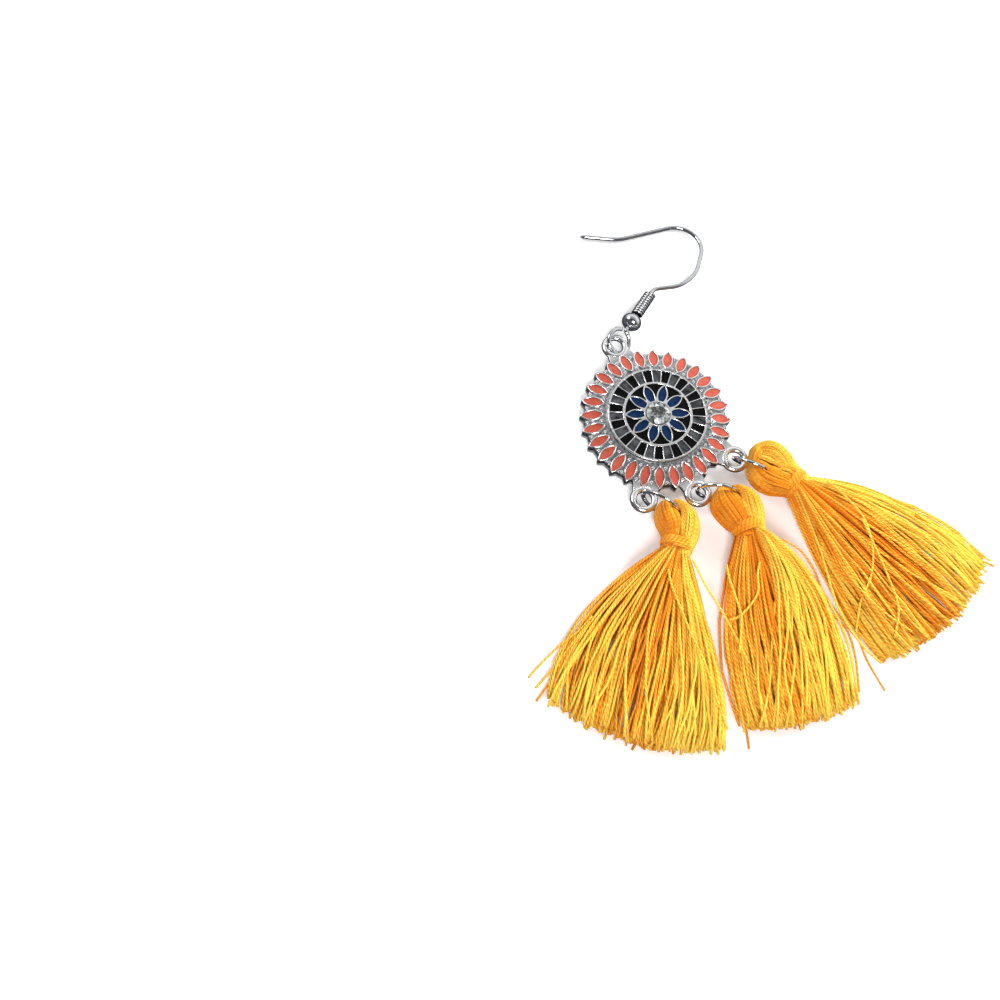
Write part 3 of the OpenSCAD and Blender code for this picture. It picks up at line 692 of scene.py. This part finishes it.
# Threads lie in rows, the last ones on top. Some are wild: they stray further than the calm ones.
# A ripple is how high and how often over q, a wave has the ranges of both along the thread
fringeLook = {
    "thread": 0.41, "fine": 0, "rows": 8, "topRows": 3, "perRow": 37, "points": 16, "tall": 3.2,
    "jitter": 1.4, "clumps": [(0.035, 9), (0.025, 21)], "partings": [(0.05, 13), (0.04, 29)],
    "wildBelow": 0.05, "drift": (0.07, 0.22), "sway": (0.3, 0.9), "edgeCalm": 0.75,
    # painted light: the top threads of a lock and of a crossing, which lie over the rest, are painted lighter
    "lockPaintedLight": 0.25, "crossPaintedLight": 0.2, "crossLift": 0.15, "crossBend": 1.3,
    "uneven": 0.011, "cutShort": 0.012, "shortShare": 0.6,
    "waves": [((0.12, 0.36), (0.6, 1.9)), ((0.12, 0.36), (0.6, 1.9)), ((0.05, 0.15), (2.5, 4.0))],
    "hops": ((0.05, 0.22), (1.0, 2.5)), "rowMix": 0.6, "wildLift": 0.12,
    # painted light: the upper rows and the wild threads, which lie higher, are painted lighter and the lower rows
    # darker
    "wildPaintedLight": 0.25, "topPaintedLight": 0.2, "toneSpread": 0.15,
    "crowd": 1.45, "neckWide": 0.43, "neckTall": 0.46, "neckFlat": 0.7, "neckRoom": 0.06, "neckOpen": 1.3,
    "fallBy": 2.2, "topFall": 0.8, "edgeSink": 0.6, "driftPivot": 0.25,
    "driftRise": 4, "waveRise": 1.6, "hopRise": 3, "sinkRise": 2,  # how soon after the neck each is at its full
}


def ripple(look, phases, kind, q):
    return sum(high * math.sin(often * q + phase) for (high, often), phase in zip(look[kind], phases[kind]))


def drawStrand(look, h, dice, row, k, phases):
    # what one thread of the fringe keeps all along its way
    level = (row + 0.5) / look["rows"]
    onTop = row >= look["rows"] - look["topRows"]
    q = (2 * k + 1 + look["jitter"] * dice.uniform(-1, 1)) / look["perRow"] - 1
    q += ripple(look, phases, "clumps", q)
    wild = dice.random() < (h["wild"] if onTop else look["wildBelow"])
    drift = dice.gauss(0, look["drift"][wild]) + ripple(look, phases, "partings", q)
    drift *= 1 - look["edgeCalm"] * min(1, q * q)
    sway = dice.gauss(0, look["sway"][wild])
    # painted light and shade across the fringe along q, with more painted light on the top threads of a lock
    paintedLight = smoothAt(h["paintedLight"], q)
    if onTop and h["lock"][0] < q < h["lock"][1]:
        sway += h["lock"][2]
        paintedLight += look["lockPaintedLight"]
    tip = q
    crossing = onTop and "cross" in h and h["cross"][0] < q < h["cross"][1]
    if crossing:
        first, last, firstTip, lastTip = h["cross"]
        tip = mix(firstTip, lastTip, (q - first) / (last - first))
        # painted light on the crossing threads, which lie on top
        paintedLight += look["crossPaintedLight"]
    reach = abs(tip) * h["spread"][tip >= 0] * tasselLook["fringe"]
    full = math.sqrt(tasselLook["fringe"] ** 2 - reach ** 2) * h["skirtLong"] * (1 + h["slant"] * tip)
    full *= 1 + dice.gauss(0, look["uneven"]) - look["shortShare"] * abs(dice.gauss(0, look["cutShort"]))
    waves = [drawWave(dice, *ranges) for ranges in look["waves"]]
    hops = drawWave(dice, *look["hops"])
    lift = level + dice.uniform(-look["rowMix"], look["rowMix"]) / look["rows"]
    lift += (look["wildLift"] if wild and onTop else 0.0) + (look["crossLift"] if crossing else 0.0)
    # painted light on the upper rows and wild threads, painted shade on the lower rows
    tone = dice.gauss(paintedLight + look["topPaintedLight"] * level, look["toneSpread"]) + (look["wildPaintedLight"] if wild else 0)
    return {"level": level, "q": q, "tip": tip, "drift": drift, "sway": sway, "full": full,
            "waves": waves, "hops": hops, "lift": lift, "tone": min(1.0, max(0.0, tone))}


def layStrand(look, h, strand):
    half = look["thread"] / 2
    neck = tasselLook["neck"]
    q, level, full = strand["q"], strand["level"], strand["full"]
    wideHere = math.sqrt(1 - look["neckFlat"] * (2 * level - 1) ** 2)
    local = inFrame(h["neckAt"], h["skirtTurn"])
    path = []
    for j in range(look["points"]):
        t = (j / (look["points"] - 1)) ** look["crowd"]
        x = mix(-neckHalf, full, t)
        free = min(1.0, max(0.0, (x - neckHalf) / (full - neckHalf)))  # counted from where the wrap ends
        here = mix(q, strand["tip"], free ** look["crossBend"])
        here += strand["drift"] * (free - look["driftPivot"]) * min(1, look["driftRise"] * free)
        side = here >= 0
        y = here * h["spread"][side] * tasselLook["fringe"] * (1 - (1 - free) ** h["bow"][side])
        y += q * look["neckWide"] * neck * wideHere * (1 - free)
        y += sum(waveAt(wave, t) for wave in strand["waves"]) * min(1, look["waveRise"] * free)
        y += strand["sway"] * math.sin(math.pi * free) * free
        low = mix(neckHeight - look["neckTall"] * neck, half + floorGap, min(1, look["fallBy"] * t))
        high = mix(neckHeight + look["neckTall"] * neck, look["tall"], t ** look["topFall"])
        high = mix(high, low, look["edgeSink"] * min(1, look["sinkRise"] * t) * min(1, q * q))
        z = mix(low, high, strand["lift"]) + waveAt(strand["hops"], t) * min(1, look["hopRise"] * t) * level
        z = max(z, half + floorGap) - neckHeight
        room = neck / 2 - half - look["neckRoom"] + look["neckOpen"] * max(0.0, x - neckHalf)
        squeeze = min(1.0, room / math.hypot(y, z))  # holds the strands inside the wrap
        path.append(local @ Vector((x, y * squeeze, z * squeeze)))
    return path


def fringePaths(look, h, dice):
    paths, tones = [], []
    for row in range(look["rows"]):
        phases = {kind: [dice.uniform(0, wholeTurn) for _ in look[kind]] for kind in ("clumps", "partings")}
        for k in range(look["perRow"]):
            strand = drawStrand(look, h, dice, row, k, phases)
            paths.append(layStrand(look, h, strand))
            tones.append(strand["tone"])
    return paths, tones


# Threads go over both lobes of a head and through the ring, with a layer below them that closes
# the gaps and is painted darker, painted shade under the top threads. The outer and the inner side of a lobe each
# have their own fullness
headLook = {
    # painted shade: the layer below is painted darker than the top threads
    "thread": 0.32, "fine": 0, "threads": 70, "points": 36, "below": 60, "sunk": 0.2, "belowPaintedShade": -0.22,
    "tuftThreads": 20, "tuftTone": 0.06, "cut": 0.82,
    "jitter": 0.5, "swirl": 0.08, "wave": ((0.01, 0.06), (1, 3)),
    "inner": 0.55, "outer": 0.9, "toneSpread": 0.13, "ringRoom": 0.06,
    "rootIn": 0.9, "rootAside": 0.24, "rootWide": 0.26, "rootTall": 0.45,
}


def clearRing(h, spot, room):
    # moves a point out of the jump ring's wire
    seen = h["ring"].inverted() @ spot
    nearest = Vector((seen.x, seen.y, 0)).normalized() * ringRadius
    away = seen - nearest
    if away.length < room:
        spot = h["ring"] @ (nearest + away.normalized() * room)
    return spot


def headStops(look, h):
    # up one lobe from the neck, through the ring, and down the other
    neck = tasselLook["neck"]
    stops = []
    for lobe, s in (("left", -1), ("right", 1)):
        root = Vector((neckHalf + look["rootIn"], s * neck * look["rootAside"], 0))
        root = turned(h["wrapTurn"] - h["headTurn"]) @ root
        leg = [Vector((root.x, root.y, 0, neck * look["rootWide"], neck * look["rootTall"]))]
        for x, outer, inner, tall in h[lobe]:
            wide = (inner - outer) / (1 + look["cut"])  # a lobe is an ellipse cut flat at the cleft
            leg.append(Vector((x, outer + wide, 0, abs(wide), tall)))
        stops += [*leg, Vector(h["bridge"])] if s < 0 else reversed(leg)
    return stops


def headPaths(look, h, dice):
    local = inFrame(h["neckAt"], h["headTurn"])
    clear = (ringLook["wire"] + look["thread"]) / 2 + look["ringRoom"]
    stops = headStops(look, h)
    bundles = [(stops, look["threads"], 0.0, 0.0), (stops, look["below"], look["sunk"], look["belowPaintedShade"])]
    bundles += [([Vector(stop) for stop in tuft], look["tuftThreads"], 0.0, look["tuftTone"]) for tuft in h["tufts"]]
    paths, tones = [], []
    for centre, count, sunk, tint in bundles:
        centre = smoothPath(centre, look["points"])
        last = len(centre) - 1
        thin = look["thread"] / 2 + sunk
        for k in range(count):
            phase = 2 * math.pi * (k + look["jitter"] * dice.uniform(-1, 1)) / count
            swirl = dice.gauss(0, look["swirl"])
            wave = drawWave(dice, *look["wave"])
            path = []
            for j, stop in enumerate(centre):
                before, after = centre[max(j - 1, 0)], centre[min(j + 1, last)]
                heading = Vector((after[0] - before[0], after[1] - before[1], 0)).normalized()
                inward = Vector((heading.y, -heading.x, 0))
                t = j / last
                a = phase + swirl * math.sin(math.pi * t) + waveAt(wave, t)
                aside = min(math.cos(a), look["cut"]) * (stop[3] - thin)
                spot = Vector(stop[:3]) + inward * aside
                full = look["inner"] if math.cos(a) > 0 else look["outer"]
                spot.z += math.copysign(abs(math.sin(a)) ** full, math.sin(a)) * (stop[4] - thin)
                path.append(clearRing(h, local @ spot, clear))
            paths.append(path)
            tones.append(min(1.0, max(0.0, dice.gauss(h["headTone"], look["toneSpread"]) + tint)))
    return paths, tones


wrapLook = {
    "thread": 0.38, "fine": 2, "moreTurns": 1.3, "around": 24, "room": 0.02, "tone": 0.5,
    "creep": [(0.10, 1.0, 1.0), (0.06, 0.43, 0.0)],  # high, often a turn, phase
    "swell": [(0.05, 1.7, 0.0), (0.04, 0.6, 0.0)],
}


def wrapPath(look, h, dice):
    local = inFrame(h["neckAt"], h["wrapTurn"])
    out = tasselLook["neck"] / 2 + look["thread"] / 2 + look["room"]
    turns = tasselLook["wrapTurns"] + look["moreTurns"]
    count = int(turns * look["around"])
    run = neckHalf - look["thread"] / 2
    start = dice.uniform(0, wholeTurn)
    path = []
    for k in range(count + 1):
        t = k / count
        a = start + 2 * math.pi * turns * t
        x = mix(-run, run, t) + sum(high * math.sin(often * a + phase) for high, often, phase in look["creep"])
        r = out + sum(high * math.sin(often * a + phase) for high, often, phase in look["swell"])
        path.append(local @ Vector((x, r * math.cos(a), r * math.sin(a))))
    return path


# Loose strands that lie over or beside a fringe: how bright each is, painted lighter for the strands lying high on
# top and darker, as painted shade, for those lying low in shadow, and its route
strayLook = {"thread": 0.36, "fine": 1, "points": 26, "routes": [
    [(0.85, [(-11.5, -23.9, 4.9), (-12.2, -26.3, 4.7), (-12.6, -30.0, 4.5), (-13.0, -34.3, 4.2), (-13.1, -38.3, 3.9),
             (-13.7, -42.1, 3.7), (-14.4, -46.2, 3.5), (-14.7, -48.9, 3.2)]),
     (0.95, [(-7.0, -24.1, 4.0), (-7.0, -28.3, 3.4), (-6.6, -31.5, 3.0), (-6.5, -35.4, 2.9), (-6.7, -39.2, 3.1),
             (-6.9, -41.6, 3.1)]),
     (0.8, [(-9.9, -27.3, 4.6), (-10.5, -32.0, 4.2), (-11.3, -37.2, 3.8), (-12.3, -41.2, 3.6), (-14.8, -48.4, 3.2)]),
     (0.7, [(-24.9, -25.1, 2.4), (-27.6, -26.2, 1.9), (-31.3, -26.9, 1.1), (-35.4, -28.3, 0.5), (-37.5, -29.2, 0.2)]),
     (0.7, [(-25.7, -25.8, 2.6), (-28.4, -27.0, 2.0), (-33.3, -29.4, 0.9), (-37.2, -31.0, 0.2)]),
     (0.4, [(-28.2, -27.6, 2.0), (-31.0, -28.6, 1.4), (-33.9, -30.6, 0.7), (-38.0, -32.8, 0.2)]),
     (0.4, [(-23.3, -41.3, 1.0), (-26.7, -44.2, 0.4), (-28.3, -45.3, 0.2)])],
    [(0.9, [(2.0, -28.8, 4.9), (0.8, -30.3, 4.7), (-0.7, -33.0, 4.3), (-4.3, -34.7, 3.6), (-6.2, -34.6, 2.9)]),
     (0.9, [(-2.5, -26.9, 3.8), (-3.2, -29.0, 3.7), (-4.1, -33.3, 3.9), (-4.7, -35.3, 3.8), (-7.5, -39.7, 3.4)]),
     (0.3, [(-10.6, -48.0, 0.8), (-12.3, -52.7, 0.2)]),
     (0.55, [(7.9, -26.9, 3.2), (10.3, -30.0, 1.9), (10.7, -34.7, 1.0), (9.6, -37.8, 0.6), (10.1, -40.7, 0.4),
             (10.9, -43.7, 0.2), (9.8, -47.9, 0.2), (7.5, -52.6, 0.2)]),
     (0.55, [(10.1, -33.6, 1.2), (10.2, -36.2, 0.7), (11.3, -43.0, 0.2), (11.8, -46.2, 0.3)])],
    [(0.9, [(18.6, -22.0, 5.1), (19.7, -24.2, 5.0), (21.0, -29.6, 4.6), (19.7, -34.4, 4.2), (17.3, -38.0, 3.7),
            (14.2, -40.6, 2.8), (11.4, -44.7, 1.2)]),
     (0.85, [(20.6, -29.4, 4.7), (20.2, -34.1, 4.4), (19.6, -39.2, 4.1), (18.6, -44.0, 3.7), (15.8, -47.8, 3.0)]),
     (0.85, [(14.4, -31.2, 2.6), (14.4, -35.9, 3.2), (15.8, -42.6, 3.5), (18.7, -48.1, 3.2)]),
     (0.4, [(11.6, -45.1, 1.1), (11.1, -49.1, 0.5), (11.3, -54.1, 0.2)]),
     (0.4, [(30.1, -32.1, 2.6), (31.7, -34.6, 2.0), (34.0, -39.6, 1.1), (38.5, -44.7, 0.2)])],
]}


def makeThreads(look, name, paths, tones, finish, slotName, node):
    mesh = tubes(name, paths, look["thread"] / 2, look["fine"], tones, threadLook["pitch"])
    addPiece(name, mesh, finish, slotName, node)


threadGold, headGold, fringeGold = (threadFinish(threadLook, name) for name in threadLook["uses"])
for i, h in enumerate(hangs, 1):
    node = f"tassel_{i}"
    dice = random.Random(tasselLook["seed"] + i)
    placeHang(h)
    makeRing(ringLook, i, h)
    makeThreads(fringeLook, f"tassel{i}Fringe", *fringePaths(fringeLook, h, dice), fringeGold, "thread", node)
    makeThreads(headLook, f"tassel{i}Head", *headPaths(headLook, h, dice), headGold, "thread", node)
    tones, routes = zip(*strayLook["routes"][i - 1])
    paths = [smoothPath([Vector(stop) for stop in route], strayLook["points"]) for route in routes]
    makeThreads(strayLook, f"tassel{i}Strays", paths, tones, threadGold, "thread", node)
    paths, tones = [wrapPath(wrapLook, h, dice)], [wrapLook["tone"]]
    makeThreads(wrapLook, f"tassel{i}Wrap", paths, tones, threadGold, "wrap_thread", f"neck_wrap_{i}")
print("tassels made")


# The floor glows a little for the camera and is dark in the metal; the sky is darkest towards darkTurn
stageLook = {
    "floor": (0.93, 0.93, 0.93), "floorSize": 1.2, "floorRough": 0.8, "floorShade": 0.985, "floorCloud": 6.0,
    "floorGlow": 0.2, "seenInMetal": (0.05, 0.05, 0.06), "backdrop": (1.3, 1.3, 1.3),
    "skyStrength": 0.72, "darkTurn": 217, "darkSpan": (-0.3, 0.3), "darkShare": 0.12,
    "sky": [(0.0, (0.5, 0.5, 0.51)), (0.2, (1.3, 1.3, 1.3)), (0.6, (1.4, 1.4, 1.4)), (0.8, (1.0, 1.0, 1.0)),
            (0.9, (0.7, 0.7, 0.7)), (1.0, (0.6, 0.6, 0.61))],
    "lamps": [  # name, place, size, power, seen in shiny things
        ("keySoftbox", (0.388, 0.034, 0.225), 0.2, 2.9, False),
        ("sideSoftbox", (-0.24, 0.26, 0.30), 0.20, 0.7, True),
        ("frontStrip", (-0.14, -0.24, 0.30), 0.16, 1.0, True),
    ],
    "aim": (-0.005, -0.01, 0.0),
}


def makeFloor(look):
    bm = bmesh.new()
    bmesh.ops.create_grid(bm, x_segments=2, y_segments=2, size=look["floorSize"])
    floor = bpy.data.objects.new("paleFloor", newMesh("paleFloor", bm))
    bpy.context.scene.collection.objects.link(floor)
    material, tree, shader = newFinish("palePaper", Roughness=look["floorRough"], Emission_Color=(1, 1, 1, 1))
    shade = tuple(c * look["floorShade"] for c in look["floor"])
    paper = ramp(tree, noise(tree, place(tree), look["floorCloud"]), zip(noiseSpan, (shade, look["floor"])))
    rays = addNode(tree, "LightPath").outputs
    feed(tree, shader, Base_Color=mixColours(tree, rays["Is Glossy Ray"], paper, look["seenInMetal"]),
         Emission_Strength=times(tree, rays["Is Camera Ray"], look["floorGlow"]))
    floor.data.materials.append(material)


def makeSky(look):
    world = bpy.data.worlds.new("studio")
    bpy.context.scene.world = world
    world.use_nodes = True
    tree = world.node_tree
    heading = addNode(tree, "TexCoord").outputs["Generated"]
    up = addNode(tree, "SeparateXYZ", {0: heading}).outputs[2]
    darkest = polar(1, look["darkTurn"])
    facing = addNode(tree, "VectorMath", {0: heading, 1: darkest}, operation="DOT_PRODUCT").outputs["Value"]
    shade = spread(tree, facing, *look["darkSpan"], (1.0, look["darkShare"]))
    tone = addNode(tree, "VectorMath", {0: ramp(tree, up, look["sky"]), "Scale": shade}, operation="SCALE").outputs[0]
    seen = addNode(tree, "LightPath").outputs["Is Camera Ray"]
    background = tree.nodes["Background"]
    tree.links.new(mixColours(tree, seen, tone, look["backdrop"]), background.inputs["Color"])
    background.inputs["Strength"].default_value = look["skyStrength"]


def makeLamps(look):
    for name, where, size, power, shown in look["lamps"]:
        light = bpy.data.lights.new(name, "AREA")
        light.shape = "DISK"
        light.size = size
        light.energy = power
        lamp = bpy.data.objects.new(name, light)
        bpy.context.scene.collection.objects.link(lamp)
        lamp.location = where
        lamp.visible_glossy = shown
        lamp.rotation_euler = (Vector(look["aim"]) - Vector(where)).to_track_quat("-Z", "Y").to_euler()


cameraLook = {
    "place": (-65.14, -50.42, 163.84), "up": (0.3867, 0.8573, 0.3398), "ahead": (0.2068, 0.2784, -0.9379),
    "lens": 39.6, "sensor": 36, "near": 0.005,
}


def makeCamera(look):
    data = bpy.data.cameras.new("photoCamera")
    data.lens = look["lens"]
    data.sensor_width = look["sensor"]
    data.clip_start = look["near"]
    camera = bpy.data.objects.new("photoCamera", data)
    bpy.context.scene.collection.objects.link(camera)
    back = -Vector(look["ahead"]).normalized()
    right = Vector(look["up"]).cross(back).normalized()
    facing = Matrix((right, back.cross(right), back)).transposed().to_4x4()
    camera.matrix_world = Matrix.Translation(Vector(look["place"]) * mm) @ facing
    bpy.context.scene.camera = camera


makeFloor(stageLook)
makeSky(stageLook)
makeLamps(stageLook)
makeCamera(cameraLook)
bpy.context.scene.view_settings.view_transform = "Standard"
bpy.context.scene.view_settings.exposure = 0.0
print("stage and camera made")
